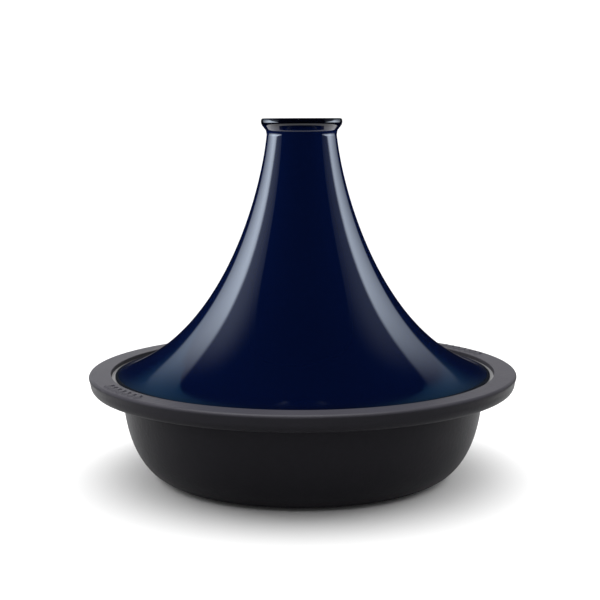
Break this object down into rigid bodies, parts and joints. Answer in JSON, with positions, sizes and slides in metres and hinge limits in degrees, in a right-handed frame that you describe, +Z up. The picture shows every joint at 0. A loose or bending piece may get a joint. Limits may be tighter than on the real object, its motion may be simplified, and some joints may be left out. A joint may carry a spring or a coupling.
{
  "type": "tagine pot",
  "caption": "Covered cooking pot for slow stews: a wide-rimmed cast-iron dish and a tall conical glazed lid that stands in the rim and lifts off.",
  "frame": {"origin": "middle of the foot's underside, on the surface that the pot stands on", "axes": "+Z up along the axis that both pieces are turned about; X and Y are across the pot, and any two directions across it are alike"},
  "size_m": [0.314, 0.314, 0.2601],
  "materials": {
    "satin_black_enamel": "satin black enamel baked on cast iron, with a fine pebbled texture",
    "navy_glaze": "deep navy glossy glaze on stoneware, with a bare fired foot under the edge"
  },
  "bodies": {
    "dish": {"dish": "satin_black_enamel"},
    "lid": {"lid": "navy_glaze"}
  },
  "joints": [
    {"name": "lid_lift", "type": "slide", "parent": "dish", "child": "lid", "axis": [0, 0, 1], "range_m": [0, 0.2]}
  ]
}
